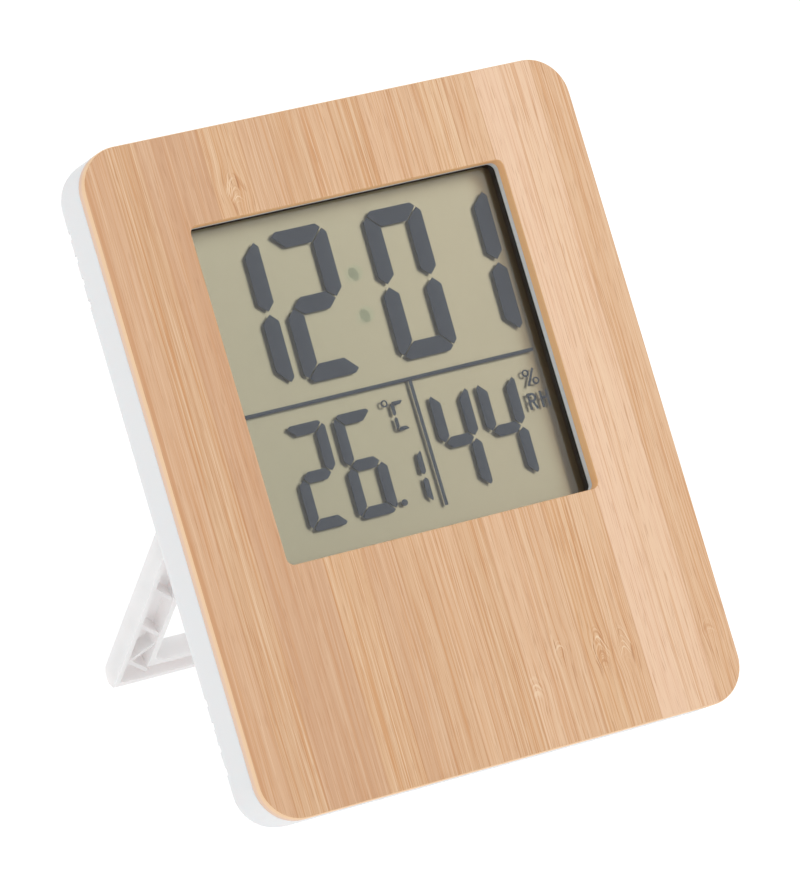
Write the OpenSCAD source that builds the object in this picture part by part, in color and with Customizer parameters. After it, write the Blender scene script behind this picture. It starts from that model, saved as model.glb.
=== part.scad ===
// Desk weather station: a bamboo front panel with a square display window, a white case
// behind it and a frame-shaped stand that folds into the back.
//
// Every piece is drawn in the case frame: x to the right, y from the front of the wood
// to the back, z up from the lower edge. standing() then leans the case back until the
// flat under its back edge and the foot of the open stand share one level.
// The origin is at the middle of the footprint, on that level.

/* [Case] */
// Width of the case and of the wood panel
case_w = 113; // [112:1:118]
// Height of the case and of the wood panel
case_h = 140; // [138:1:146]
// Depth from the front of the wood to the back of the case
case_d = 18.8; // [18.8:0.1:19.6]
// Radius of the four corners
corner_r = 8.7; // [8:0.1:10]
// Radius that rounds the back edges
back_round = 7; // [6.6:0.1:7.6]
// Wall thickness of the case
wall = 2; // [1.8:0.1:2.2]
// Depth of the flat that is cut under the back edge to stand on
foot_flat = 1.6; // [1.2:0.1:1.8]

/* [Wood panel] */
// Thickness of the bamboo panel
wood_t = 3; // [2.8:0.1:3.2]
// Rounding of its front edge
wood_edge = 0.4; // [0.2:0.1:0.8]
// Width of the panel on either side of the display window
window_side = 20; // [19.5:0.5:21.5]
// Height of the panel above the window
window_top = 19.3; // [18.5:0.1:21.5]
// Height of the window's lower edge above the case's lower edge
window_low = 49.5; // [49.5:0.1:51]
// Radius of the window's corners
window_r = 1.6; // [1:0.1:3]
// Thickness of the adhesive sheet under the wood
glue_t = 0.2; // [0.1:0.05:0.3]

/* [Front frame] */
// Thickness of the plastic frame plate
frame_t = 1.6; // [1.4:0.1:1.8]
// Gap between the frame plate and the case wall
frame_gap = 0.2; // [0.1:0.05:0.3]
// How far the frame's window stands back from the wood's
lip_step = 0.15; // [0.05:0.05:0.3]

/* [Display] */
// How far the liquid crystal cell reaches past the window on either side
lcd_side = 1.5; // [1:0.25:2]
// How far the cell reaches above the window
lcd_over = 1.8; // [1.2:0.1:2.4]
// How far it reaches below the window
lcd_under = 3; // [2.6:0.1:3.2]
// Thickness of each glass plate
glass_t = 1; // [0.9:0.1:1.1]
// Thickness of each polarising film
film_t = 0.2; // [0.15:0.05:0.25]
// Height of the contact ledge on the front glass
ledge_h = 2.4; // [2.2:0.1:2.6]
// Slant of the digits in degrees
digit_slant = 1; // [0:0.2:4]

/* [Stand] */
// Distance from the side of the case to the side of the stand
stand_side = 5.75; // [5.5:0.25:6.5]
// Thickness of the stand
stand_t = 5; // [4.8:0.1:5.2]
// Height of the folded stand's foot above the case's lower edge
stand_low = 6.1; // [5.8:0.1:6.6]
// How far the front edge of the sole stands back from the end of the foot
sole_step = 1.2; // [0.9:0.1:1.5]
// Height of the hinge axis as a share of the case's height
hinge_share = 0.4786; // [0.475:0.0005:0.486]
// Angle between the open stand and the back of the case
stand_open = 65.2; // [60:0.2:68]
// Width of the side rails
rail_w = 8; // [7:0.5:8]
// Radius of the opening's lower corners
frame_r = 2.2; // [1.5:0.1:3]
// Height of the bar at the foot
foot_bar = 7.7; // [7:0.1:8.4]
// Wall thickness of the rails
rail_wall = 1.3; // [1.2:0.1:1.5]
// Thickness of the outer skin
skin_t = 1.5; // [1.3:0.1:1.8]
// Distance between two slanting ribs
rib_pitch = 13; // [11:0.1:14]
// Radius of the hinge pins
pin_r = 1.1; // [1:0.1:1.3]

/* [Battery bay] */
// Diameter of a battery
cell_d = 10.5; // [10.2:0.1:10.5]
// Length of a battery with its button
cell_l = 44.5; // [43.5:0.5:44.5]
// Length of a contact spring with the battery in
spring_l = 5.5; // [5:0.5:6]
// Height of the middle of the bay above the case's lower edge
bay_z = 31; // [30:0.5:31.5]
// Thickness of the battery door
door_t = 2; // [1.8:0.1:2.2]

/* [Buttons] */
// Radius of a button
button_r = 4; // [3.5:0.1:4.5]
// Distance between two buttons
button_pitch = 18; // [16:0.5:19]
// Height of the buttons above the hinge axis
button_rise = 23; // [21:0.5:27]
// How far a button stands out of the back
button_out = 0.8; // [0.4:0.1:1.2]
// Travel of a button
button_travel = 0.5; // [0.3:0.1:0.6]

/* [Electronics] */
// How far the circuit board reaches past the cell on either side
board_side = 5; // [4:0.5:6]
// How much higher the board is than the cell
board_over = 3.5; // [2:0.5:4]
// Thickness of the circuit board
board_t = 1.6; // [1.4:0.1:1.6]
// Radius of the buzzer disc
buzzer_r = 10; // [8:0.5:11]

/* [Fasteners] */
// Radius of the case screws' thread
screw_r = 1.2; // [1:0.1:1.3]
// Radius of the case screws' head
screw_head_r = 2.3; // [2:0.1:2.5]
// Height of the case screws' head
screw_head_h = 1.6; // [1.2:0.1:1.8]
// Radius of the screw bosses
boss_r = 3.4; // [3.2:0.1:3.6]

/* [Hidden] */
$fn = 48;
overrun = 0.5;        // how far a cut runs past the face that it opens
seat_gap = 0.1;       // clearance between pieces that are put together
run_gap = 0.25;       // clearance round pieces that move
thread_gap = 0.05;    // clearance round a screw in its own boss

// Layers from the front to the back
frame_y = wood_t + glue_t;
lcd_y = frame_y + frame_t;
front_glass_y = lcd_y + film_t;
cell_gap = 0.1;
segment_y = front_glass_y + glass_t;
back_glass_y = segment_y + cell_gap;
reflector_y = back_glass_y + glass_t;
backing_y = reflector_y + film_t;
backing_t = 2;
board_y = backing_y + backing_t;
board_back = board_y + board_t;
inner_back = case_d - wall;

// Sizes that follow the case and its window
window_w = case_w - 2 * window_side;
window_h = case_h - window_low - window_top;
lcd_w = window_w + 2 * lcd_side;
lcd_h = lcd_under + window_h + lcd_over;
board_w = lcd_w + 2 * board_side;
board_h = lcd_h + board_over;
hinge_z = case_h * hinge_share;
button_z = hinge_z + button_rise;
stand_w = case_w - 2 * stand_side;
stand_len = hinge_z - stand_low;
sole_len = stand_len - sole_step;

// Outlines inside the case
inner_corner = corner_r - wall;
inner_round = inner_corner - wall / 4;
window_mid = window_low + window_h / 2;
lcd_low = window_low - lcd_under;

// Stand recess in the back of the case
recess_gap = 0.1;
recess_y = case_d - stand_t - recess_gap;
recess_wall = 1.6;
recess_in = recess_y - recess_wall;
hinge_y = case_d - stand_t / 2;
axle_r = stand_t / 2;
top_bar = axle_r;     // how far the bar at the hinge reaches along the stand
// The stop face of the lug touches a circle of axle_r where the open stand faces inward
stop_y = -axle_r * cos(stand_open);
stop_z = axle_r * sin(stand_open);
lug_z = stop_z + (axle_r - stop_y) * cos(stand_open) / sin(stand_open);
lug_sweep = sqrt(axle_r * axle_r + lug_z * lug_z);
recess_top = hinge_z + lug_sweep + run_gap;
recess_low = hinge_z - stand_len - run_gap;
recess_w = stand_w + 2 * run_gap;
island_w = stand_w - 2 * rail_w - 2 * run_gap;
island_low = hinge_z - stand_len + foot_bar + run_gap;
island_top = hinge_z - sqrt(axle_r * axle_r + top_bar * top_bar) - run_gap;
pin_l = 1.4;
pin_gap = 0.2;

// Battery bay and its door
contact_t = 0.3;
bay_w = cell_l + spring_l + 2 * contact_t;
cell_space = 0.3;
bay_h = 2 * cell_d + 3 * cell_space;
bay_side = 1.5;
door_lift = 0.3;      // free space between the door and the batteries
cell_y = case_d - door_t - door_lift - cell_d / 2;
bay_y = cell_y - cell_d / 2 - seat_gap;
door_rim = 2;         // how far the door reaches past the bay
door_gap = 0.2;
door_w = bay_w + 2 * door_rim + 2 * door_rim;
door_h = bay_h + 2 * door_rim;
door_low = bay_z - door_h / 2;
door_axis_y = case_d - door_t / 2;
door_axis_z = door_low + door_t / 2;
door_pin_r = 0.6;
door_pin_l = 1.2;
door_rest = 1.6;      // thickness of the rim that the door lies on
bay_out = door_w / 2 + door_pin_l + run_gap + bay_side;

// Screws and bosses
post_l = 4.2;         // length of the frame's screw posts
split_y = lcd_y + post_l;
screw_seat = recess_y - screw_head_h - seat_gap;
upper_screw_x = case_w / 2 - corner_r - seat_gap;
upper_screw_z = case_h - corner_r - wall - seat_gap;
lower_screw_x = stand_w / 2 - rail_w / 2;
lower_screw_z = recess_low + boss_r + run_gap + seat_gap;
screw_places = [[upper_screw_x, upper_screw_z], [lower_screw_x, lower_screw_z]];
board_low = lcd_low - wall + run_gap;
board_screw_r = 0.8;
board_screw_head = 0.8;
board_post_r = 2.4;
board_screw_x = board_w / 2 - board_post_r + seat_gap;
board_screw_zs = [recess_top + recess_wall + board_post_r + seat_gap,
                  board_low + board_h - board_post_r - wall];

// Buttons and their switches
button_count = 4;
flange_r = button_r + 1;
flange_t = 0.7;
flange_y = inner_back - flange_t - seat_gap;
switch_w = 6;
switch_t = 3.5;
plunger_r = 1.75;
plunger_in = 0.9;     // how far the plunger reaches into the switch at rest

// Vents on both back edges
vent_count = 4;
vent_pitch = 4.75;
vent_w = 1.5;
vent_end = 13.8;      // distance of the first vent from the end of the case
vent_depth = 6;

// Standing on the foot: the flat is on a circle of stand_r about the back edge's centre
edge_y = case_d - back_round;
edge_z = back_round;
stand_r = back_round - foot_flat;
foot_y = hinge_y + sole_len * sin(stand_open) - axle_r * cos(stand_open);
foot_z = hinge_z - sole_len * cos(stand_open) - axle_r * sin(stand_open);
foot_reach = sqrt(pow(foot_y - edge_y, 2) + pow(foot_z - edge_z, 2));
lean = atan2(foot_z - edge_z, foot_y - edge_y) + asin(stand_r / foot_reach);
floor_z = edge_z * cos(lean) - edge_y * sin(lean) - stand_r;
front_y = wood_edge * (cos(lean) + sin(lean)) - wood_edge;
back_y = edge_y * cos(lean) + (case_h - back_round) * sin(lean) + back_round;
mid_y = (front_y + back_y) / 2;

// Colours
bamboo = [0.86, 0.69, 0.53];
white = [0.93, 0.93, 0.94];
lcd_green = [0.70, 0.68, 0.59];

// Leans a piece back and sets it down
module standing() {
    translate([0, -mid_y, -floor_z]) rotate([-lean, 0, 0]) children();
}

// A flat sheet from an outline in x and z, between y0 and y0 + t
module sheet(y0, t) {
    translate([0, y0 + t, 0]) rotate([90, 0, 0]) linear_extrude(height = t) children();
}

// A round bar along y
module bar_y(x, y0, z, r, len) {
    translate([x, y0, z]) rotate([-90, 0, 0]) cylinder(r = r, h = len);
}

// A round bar along x
module bar_x(x0, y, z, r, len) {
    translate([x0, y, z]) rotate([0, 90, 0]) cylinder(r = r, h = len);
}

// A box that is centred on x
module block(w, y0, y1, z0, z1) {
    translate([-w / 2, y0, z0]) cube([w, y1 - y0, z1 - z0]);
}

module mirrored() {
    children();
    mirror([1, 0, 0]) children();
}

// A rectangle with round corners, standing on z = 0
module round_rect(w, h, r) {
    translate([-w / 2 + r, 0]) square([w - 2 * r, h]);
    translate([-w / 2, r]) square([w, h - 2 * r]);
    for (x = [-w / 2 + r, w / 2 - r], z = [r, h - r]) translate([x, z]) circle(r = r);
}

// The same with its upper corners square
module tongue_rect(w, h, r) {
    round_rect(w, h, r);
    translate([-w / 2, h / 2]) square([w, h / 2]);
}

// Section of a plate of width w and depth t whose two far edges are round
module edge_section(w, t, r) {
    translate([-w / 2, 0]) square([w, t - r]);
    translate([-w / 2 + r, 0]) square([w - 2 * r, t]);
    for (x = [-w / 2 + r, w / 2 - r]) translate([x, t - r]) circle(r = r);
}

// A plate with round corners whose far edge is round all the way about
module cushioned_plate(w, h, t, corner, edge) {
    translate([0, 0, corner]) linear_extrude(height = h - 2 * corner) edge_section(w, t, edge);
    translate([corner - w / 2, 0, h / 2]) rotate([0, 90, 0])
        linear_extrude(height = w - 2 * corner) edge_section(h, t, edge);
    for (x = [corner - w / 2, w / 2 - corner], z = [corner, h - corner])
        translate([x, 0, z]) rotate([-90, 0, 0]) rotate_extrude() {
            square([corner, t - edge]);
            square([corner - edge, t]);
            translate([corner - edge, t - edge]) intersection() {
                circle(r = edge);
                square(edge);
            }
        }
}

module wood_panel() {
    color(bamboo) difference() {
        translate([0, wood_t, 0]) mirror([0, 1, 0])
            cushioned_plate(case_w, case_h, wood_t, corner_r, wood_edge);
        sheet(-overrun, wood_t + 2 * overrun) translate([0, window_low])
            round_rect(window_w, window_h, window_r);
    }
}

frame_w = case_w - 2 * wall - 2 * frame_gap;
frame_h = case_h - 2 * wall - 2 * frame_gap;
frame_low = wall + frame_gap;
frame_corner = inner_corner - frame_gap;
lip_w = window_w + 2 * lip_step;
lip_h = window_h + 2 * lip_step;
lip_low = window_low - lip_step;
lip_r = window_r + lip_step;

module panel_adhesive() {
    color("gainsboro") sheet(wood_t, glue_t) difference() {
        translate([0, frame_low]) round_rect(frame_w, frame_h, frame_corner);
        translate([0, lip_low]) round_rect(lip_w, lip_h, lip_r);
    }
}

pocket_wall = 1.2;
pocket_w = lcd_w + 2 * seat_gap;
pocket_h = lcd_h + 2 * seat_gap;
pocket_low = lcd_low - seat_gap;

module front_frame() {
    color(white) difference() {
        union() {
            sheet(frame_y, frame_t) translate([0, frame_low])
                round_rect(frame_w, frame_h, frame_corner);
            block(pocket_w + 2 * pocket_wall, lcd_y, backing_y,
                  pocket_low - pocket_wall, pocket_low + pocket_h + pocket_wall);
            for (p = screw_places) mirrored()
                bar_y(p[0], lcd_y, p[1], boss_r, split_y - lcd_y);
            for (z = board_screw_zs) mirrored()
                bar_y(board_screw_x, lcd_y, z, board_post_r, board_y - lcd_y);
        }
        sheet(frame_y - overrun, frame_t + 2 * overrun) translate([0, lip_low])
            round_rect(lip_w, lip_h, lip_r);
        block(pocket_w, lcd_y, backing_y + overrun, pocket_low, pocket_low + pocket_h);
        for (p = screw_places) mirrored()
            bar_y(p[0], lcd_y, p[1], screw_r + thread_gap, split_y - lcd_y + overrun);
        for (z = board_screw_zs) mirrored()
            bar_y(board_screw_x, lcd_y, z, board_screw_r + thread_gap,
                  board_y - lcd_y + overrun);
    }
}

keyhole_rise = 30;    // heights above the buttons
buzzer_rise = 20;
keyhole_z = button_z + keyhole_rise;
keyhole_r = 3.2;
keyhole_slot_r = 1.7;
keyhole_slot_l = 7;
hole_r = 0.7;
hole_ring_r = 3;
hole_ring_count = 6;
buzzer_side = 26.5;   // distance of the buzzer's middle from the side of the case
buzzer_x = case_w / 2 - buzzer_side;
buzzer_z = button_z + buzzer_rise;
buzzer_rim = 1;
buzzer_rim_h = 1.6;

module recess_cut() {
    difference() {
        block(recess_w, recess_y, case_d + overrun, recess_low, recess_top);
        sheet(recess_y - overrun, stand_t + recess_gap + 3 * overrun) translate([0, island_low])
            tongue_rect(island_w, island_top - island_low, frame_r);
    }
}

module vents() {
    for (i = [0:vent_count - 1], z = [vent_end, case_h - vent_end - (vent_count - 1) * vent_pitch])
        mirrored() translate([recess_w / 2 + wall, case_d - vent_depth,
                              z + i * vent_pitch - vent_w / 2])
            cube([case_w / 2 - recess_w / 2, vent_depth + overrun, vent_w]);
}

module rear_shell() {
    intersection() {
        union() {
            difference() {
                translate([0, wood_t, 0])
                    cushioned_plate(case_w, case_h, case_d - wood_t, corner_r, back_round);
                translate([0, wood_t - overrun, wall])
                    cushioned_plate(case_w - 2 * wall, case_h - 2 * wall,
                                    inner_back - wood_t + overrun, inner_corner, inner_round);
            }
            difference() {
                block(recess_w + 2 * wall, recess_in, inner_back + wall,
                      recess_low - recess_wall, recess_top + recess_wall);
                block(island_w - 2 * recess_wall, recess_in - overrun, inner_back,
                      island_low + recess_wall, island_top - recess_wall);
            }
            block(bay_w + 2 * bay_side, lcd_y, inner_back + wall,
                  bay_z - bay_h / 2 - bay_side, bay_z + bay_h / 2 + bay_side);
            block(2 * bay_out, case_d - door_t - door_gap - door_rest, inner_back + wall,
                  door_low - door_gap - bay_side, door_low + door_h + door_gap + bay_side);
            for (p = screw_places) mirrored()
                bar_y(p[0], split_y, p[1], boss_r, inner_back + wall - split_y);
            bar_y(buzzer_x, inner_back - buzzer_rim_h, buzzer_z,
                  buzzer_r + seat_gap + buzzer_rim, buzzer_rim_h + wall / 2);
        }
        translate([0, wood_t, 0])
            cushioned_plate(case_w, case_h, case_d - wood_t, corner_r, back_round);
    }
}

module rear_cover() {
    color(white) difference() {
        rear_shell();
        recess_cut();
        mirrored() bar_x(0, hinge_y, hinge_z, pin_r + pin_gap,
                         stand_w / 2 + pin_l + run_gap + seat_gap);
        block(bay_w, bay_y, case_d + overrun, bay_z - bay_h / 2, bay_z + bay_h / 2);
        block(door_w + 2 * door_gap, case_d - door_t - door_gap, case_d + overrun,
              door_low - door_gap, door_low + door_h + door_gap);
        mirrored() bar_x(0, door_axis_y, door_axis_z, door_pin_r + door_gap,
                         door_w / 2 + door_pin_l + run_gap);
        for (p = screw_places) mirrored() {
            bar_y(p[0], split_y - overrun, p[1], screw_r + seat_gap, case_d);
            bar_y(p[0], screw_seat, p[1], screw_head_r + seat_gap, case_d);
        }
        for (i = [0:button_count - 1])
            bar_y(button_x(i), inner_back - overrun, button_z, button_r + run_gap,
                  wall + 2 * overrun);
        bar_y(0, inner_back - overrun, keyhole_z, keyhole_r, wall + 2 * overrun);
        bar_y(0, inner_back - overrun, keyhole_z + keyhole_slot_l, keyhole_slot_r,
              wall + 2 * overrun);
        block(2 * keyhole_slot_r, inner_back - overrun, case_d + overrun,
              keyhole_z, keyhole_z + keyhole_slot_l);
        bar_y(buzzer_x, inner_back - buzzer_rim_h - overrun, buzzer_z, buzzer_r + seat_gap,
              buzzer_rim_h + overrun);
        bar_y(buzzer_x, inner_back - overrun, buzzer_z, hole_r, wall + 2 * overrun);
        for (i = [1:hole_ring_count])
            bar_y(buzzer_x + hole_ring_r * cos(i * 360 / hole_ring_count), inner_back - overrun,
                  buzzer_z + hole_ring_r * sin(i * 360 / hole_ring_count), hole_r,
                  wall + 2 * overrun);
        for (s = [-1, 1]) lead_hole(s);
        vents();
        foot_cut();
    }
}

// Everything below the level that the case stands on
module foot_cut() {
    rotate([lean, 0, 0]) translate([-case_w / 2 - overrun, -case_d, floor_z - case_d])
        cube([case_w + 2 * overrun, 3 * case_d, case_d]);
}

module display_layer(y0, t, low) {
    sheet(y0, t) translate([-lcd_w / 2, low]) square([lcd_w, lcd_low + lcd_h - low]);
}

module front_polariser() {
    color([0.75, 0.75, 0.68, 0.4]) display_layer(lcd_y, film_t, lcd_low + ledge_h);
}

module front_glass() {
    color([0.8, 0.85, 0.8, 0.4]) display_layer(front_glass_y, glass_t, lcd_low);
}

module rear_glass() {
    color([0.8, 0.85, 0.8, 0.4]) display_layer(back_glass_y, glass_t, lcd_low + ledge_h);
}

module reflector_film() {
    color(lcd_green) display_layer(reflector_y, film_t, lcd_low + ledge_h);
}

module display_backing() {
    color(white) display_layer(backing_y, backing_t, lcd_low + ledge_h);
}

module contact_strip() {
    color("dimgray") block(lcd_w - 2 * wall, segment_y, board_y, lcd_low + seat_gap,
                           lcd_low + ledge_h - seat_gap);
}

// Segments of a digit, named a to g from the top round to the middle. Each corner of the digit is
// cut off, and the narrow gaps run from the inner corners out to the cuts.
corner_share = 0.58;
tip_share = 0.46;
function leaning(points) = [for (p = points) [p[0] + p[1] * tan(digit_slant), p[1]]];
function mirrored(points, w) = [for (p = points) [w - p[0], p[1]]];
function upturned(points, h) = [for (p = points) [p[0], h - p[1]]];
function top_points(w, h, s, c, g) =
    [[(c + g) / 2, h - (c - g) / 2], [c, h], [w - c, h], [w - (c + g) / 2, h - (c - g) / 2],
     [w - s - g, h - s], [s + g, h - s]];
function side_points(w, h, s, c, t, g) =
    [[w - (c - g) / 2, h - (c + g) / 2], [w, h - c], [w, h / 2 + t + g + g / 2],
     [w - t, h / 2 + g + g / 2], [w - s, h / 2 + s / 2 + g], [w - s, h - s - g]];
function middle_points(w, h, s, t, g) =
    [[t + g + g / 2, h / 2], [s + g, h / 2 + s / 2], [w - s - g, h / 2 + s / 2],
     [w - t - g - g / 2, h / 2], [w - s - g, h / 2 - s / 2], [s + g, h / 2 - s / 2]];
function segment_points(name, w, h, s, g) =
    let (c = s * corner_share, t = s * tip_share,
         top = top_points(w, h, s, c, g), side = side_points(w, h, s, c, t, g))
    name == "a" ? top :
    name == "b" ? side :
    name == "c" ? upturned(side, h) :
    name == "d" ? upturned(top, h) :
    name == "e" ? upturned(mirrored(side, w), h) :
    name == "f" ? mirrored(side, w) :
    middle_points(w, h, s, t, g);

module digit(lit, x, z, w, h, s, g) {
    for (name = lit) translate([x, z]) polygon(leaning(segment_points(name, w, h, s, g)));
}

// The digits are drawn for a window of this size and grow or shrink with it
drawn_w = 73;
drawn_h = 71.2;
drawn_low = 49.5;
digit_share = min(window_w / drawn_w, window_h / drawn_h);
// Time row, with room for the colon between its two pairs of digits
time_x = -34.15;
time_z = 85;
time_w = 13.6;
time_h = 31.85;
time_s = 3.6;
time_pitch = 15.8;
colon_room = 6.5;
colon_x = -0.65;
colon_z = 96.2;
colon_pitch = 8.9;
colon_r = 1.65;
// Lower row
low_z = 55.4;
low_w = 9.2;
low_h = 22.05;
low_s = 2.35;
low_pitch = 11.2;
temp_x = -26.6;
humid_x = 7;
tenth_x = -3.2;
tenth_w = 5.2;
tenth_h = 11.4;
tenth_s = 1.2;
segment_gap = 0.22;
// Lines between the fields
rule_z = 80.9;
rule_t = 0.75;
rule_w = 68;
divider_x = 4.1;
divider_low = 54.2;
// Marks beside the digits
mark_t = 0.5;
ring_t = 0.32;
degree_x = -2.75;
degree_z = 77.45;
degree_r = 0.77;
scale_x = -1.55;
scale_w = 3.1;
scale_h = 6.15;
scale_s = 0.78;
point_x = -4.6;
point_z = 56.8;
point_r = 0.7;
percent_x = 29.8;
percent_z = 74;
percent_h = 3.5;
percent_w = 3.5;
letter_x = 29.45;
letter_z = 69;
letter_h = 3.5;
letter_w = 2;
letter_space = 0.9;

// A straight mark from one point to another
module stroke(from, to, t) {
    run = to - from;
    translate(from) rotate(atan2(run[1], run[0])) translate([0, -t / 2]) square([norm(run), t]);
}

module ring(x, z, r, t) {
    translate([x, z]) difference() {
        circle(r = r);
        circle(r = r - t);
    }
}

module percent_sign(x, z, w, h, t) {
    hole_r = h / 4.5;
    ring(x + hole_r, z + h - hole_r, hole_r, ring_t);
    ring(x + w - hole_r, z + hole_r, hole_r, ring_t);
    stroke([x + hole_r, z], [x + w - hole_r, z + h], t);
}

// An R: a stem, a round bowl and a straight leg
module letter_r(x, z, w, h, t) {
    bowl_r = (h / 2 + t / 2) / 2;
    translate([x, z]) {
        square([t, h]);
        for (up = [h - t, h / 2 - t / 2]) translate([0, up]) square([w - bowl_r, t]);
        translate([w - bowl_r, h - bowl_r]) intersection() {
            ring(0, 0, bowl_r, t);
            translate([0, -bowl_r]) square([bowl_r, 2 * bowl_r]);
        }
        stroke([w / 2, h / 2], [w - t / 2, 0], t);
    }
}

module letter_h(x, z, w, h, t) {
    for (side = [0, w - t]) translate([x + side, z]) square([t, h]);
    translate([x, z + h / 2]) square([w, t]);
}

module segment_outlines() {
    lit_time = ["bc", "abged", "abcdef", "bc"];
    for (i = [0:3]) digit(lit_time[i], time_x + i * time_pitch + (i > 1 ? colon_room : 0), time_z,
                          time_w, time_h, time_s, segment_gap);
    for (i = [0, 1]) translate([colon_x + i * colon_pitch * tan(digit_slant), colon_z + i * colon_pitch])
        circle(r = colon_r);
    lit_temp = ["abged", "acdefg"];
    for (i = [0, 1]) digit(lit_temp[i], temp_x + i * low_pitch, low_z,
                           low_w, low_h, low_s, segment_gap);
    for (i = [0, 1]) digit("fgbc", humid_x + i * low_pitch, low_z,
                           low_w, low_h, low_s, segment_gap);
    digit("bc", tenth_x, low_z, tenth_w, tenth_h, tenth_s, segment_gap);
    digit("adef", scale_x, degree_z - scale_h, scale_w, scale_h, scale_s, segment_gap / 2);
    ring(degree_x, degree_z, degree_r, ring_t);
    translate([point_x, point_z]) circle(r = point_r);
    translate([-rule_w / 2, rule_z]) square([rule_w, rule_t]);
    translate([divider_x, divider_low]) square([rule_t, rule_z - divider_low + rule_t / 2]);
    percent_sign(percent_x, percent_z, percent_w, percent_h, mark_t);
    letter_r(letter_x, letter_z, letter_w, letter_h, mark_t);
    letter_h(letter_x + letter_w + letter_space, letter_z, letter_w, letter_h, mark_t);
}

module lcd_segments() {
    color([0.25, 0.28, 0.34]) sheet(segment_y, cell_gap)
        translate([0, window_mid]) scale(digit_share)
            translate([0, -drawn_low - drawn_h / 2]) segment_outlines();
}

module circuit_board() {
    color("darkgreen") sheet(board_y, board_t) difference() {
        translate([-board_w / 2, board_low]) square([board_w, board_h]);
        for (z = board_screw_zs, x = [-board_screw_x, board_screw_x])
            translate([x, z]) circle(r = board_screw_r + seat_gap);
    }
}

blob_rise = 11;
blob_x = -9;
blob_z = button_z + blob_rise;
blob_r = 6;
blob_h = 1.6;
blob_ball = (blob_r * blob_r + blob_h * blob_h) / (2 * blob_h);

module chip_blob() {
    color("black") translate([blob_x, board_back, blob_z]) rotate([-90, 0, 0])
        rotate_extrude() intersection() {
            translate([0, blob_h - blob_ball]) circle(r = blob_ball, $fn = 4 * $fn);
            square([blob_r, blob_h]);
        }
}

crystal_r = 1.5;
crystal_l = 8;
crystal_x = 6;
crystal_rise = 14;
crystal_z = button_z + crystal_rise;

module quartz_crystal() {
    color("silver") bar_x(crystal_x, board_back + crystal_r, crystal_z, crystal_r, crystal_l);
}

part_size = [2, 1, 1.2];
part_pitch = 4;
part_row_x = -14;
part_row_rise = 20;
part_row_z = button_z + part_row_rise;
part_count = 6;

module board_parts() {
    color("tan") for (i = [0:part_count - 1])
        translate([part_row_x + i * part_pitch, board_back, part_row_z]) cube(part_size);
}

sensor_side = 10;     // distance of the sensor's middle from the side of the board
sensor_rise = 16;
sensor_x = sensor_side - board_w / 2;
sensor_z = button_z + sensor_rise;
sensor_w = 10;
sensor_h = 13;
sensor_t = 4;
sensor_slot = 1;
sensor_slots = 4;

module humidity_sensor() {
    color("white") difference() {
        translate([sensor_x - sensor_w / 2, board_back, sensor_z]) cube([sensor_w, sensor_t, sensor_h]);
        for (i = [1:sensor_slots])
            translate([sensor_x - sensor_w / 3, board_back + sensor_t / 2,
                       sensor_z + i * sensor_h / (sensor_slots + 1) - sensor_slot / 2])
                cube([sensor_w * 2 / 3, sensor_t, sensor_slot]);
    }
}

bead_r = 1.1;
bead_rise = 9;
bead_z = button_z + bead_rise;
bead_lead_r = 0.3;

module thermistor() {
    color("darkolivegreen") {
        translate([sensor_x, board_back + bead_r, bead_z]) sphere(r = bead_r);
        translate([sensor_x, board_back + bead_lead_r, bead_z - 3 * bead_r])
            cylinder(r = bead_lead_r, h = 3 * bead_r);
    }
}

buzzer_t = 0.3;

module buzzer_disc() {
    color("goldenrod") {
        bar_y(buzzer_x, inner_back - buzzer_t, buzzer_z, buzzer_r, buzzer_t);
        bar_y(buzzer_x, inner_back - 2 * buzzer_t, buzzer_z, buzzer_r * 2 / 3, buzzer_t);
    }
}

function button_x(i) = (i - (button_count - 1) / 2) * button_pitch;

module switch_bodies() {
    color("dimgray") for (i = [0:button_count - 1]) difference() {
        translate([button_x(i) - switch_w / 2, board_back, button_z - switch_w / 2])
            cube([switch_w, switch_t, switch_w]);
        bar_y(button_x(i), board_back + switch_t - plunger_in - button_travel - run_gap, button_z,
              plunger_r + pin_gap, switch_t);
    }
}

module plunger(i) {
    top = board_back + switch_t - plunger_in;
    color("black") bar_y(button_x(i), top, button_z, plunger_r, flange_y - top);
}

button_edge = 0.6;

module button(i) {
    body_l = case_d + button_out - flange_y;
    color(white) translate([button_x(i), flange_y, button_z]) rotate([-90, 0, 0])
        rotate_extrude() {
            square([flange_r, flange_t]);
            square([button_r, body_l - button_edge]);
            square([button_r - button_edge, body_l]);
            translate([button_r - button_edge, body_l - button_edge]) intersection() {
                circle(r = button_edge);
                square(button_edge);
            }
        }
}

module mode_button() button(0);
module up_button() button(1);
module down_button() button(2);
module memory_button() button(3);
module mode_plunger() plunger(0);
module up_plunger() plunger(1);
module down_plunger() plunger(2);
module memory_plunger() plunger(3);

module board_screws() {
    color("silver") for (z = board_screw_zs) mirrored() {
        bar_y(board_screw_x, lcd_y + backing_t, z, board_screw_r, board_back - lcd_y - backing_t);
        bar_y(board_screw_x, board_back, z, 2 * board_screw_r, board_screw_head);
    }
}

drive_r = 1.1;        // cross recess in the screw heads
drive_w = 0.5;

module case_screws() {
    color("silver") for (p = screw_places) mirrored() difference() {
        union() {
            bar_y(p[0], lcd_y + seat_gap, p[1], screw_r, screw_seat - lcd_y - seat_gap);
            bar_y(p[0], screw_seat, p[1], screw_head_r, screw_head_h);
        }
        for (turn = [0, 90])
            translate([p[0], screw_seat + screw_head_h, p[1]]) rotate([0, turn, 0])
                cube([2 * drive_r, screw_head_h, drive_w], center = true);
    }
}

cell_step = (cell_d + cell_space) / 2;
nub_r = 2.7;
nub_l = 1;
nub_seat = bay_w / 2 - contact_t;

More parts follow.
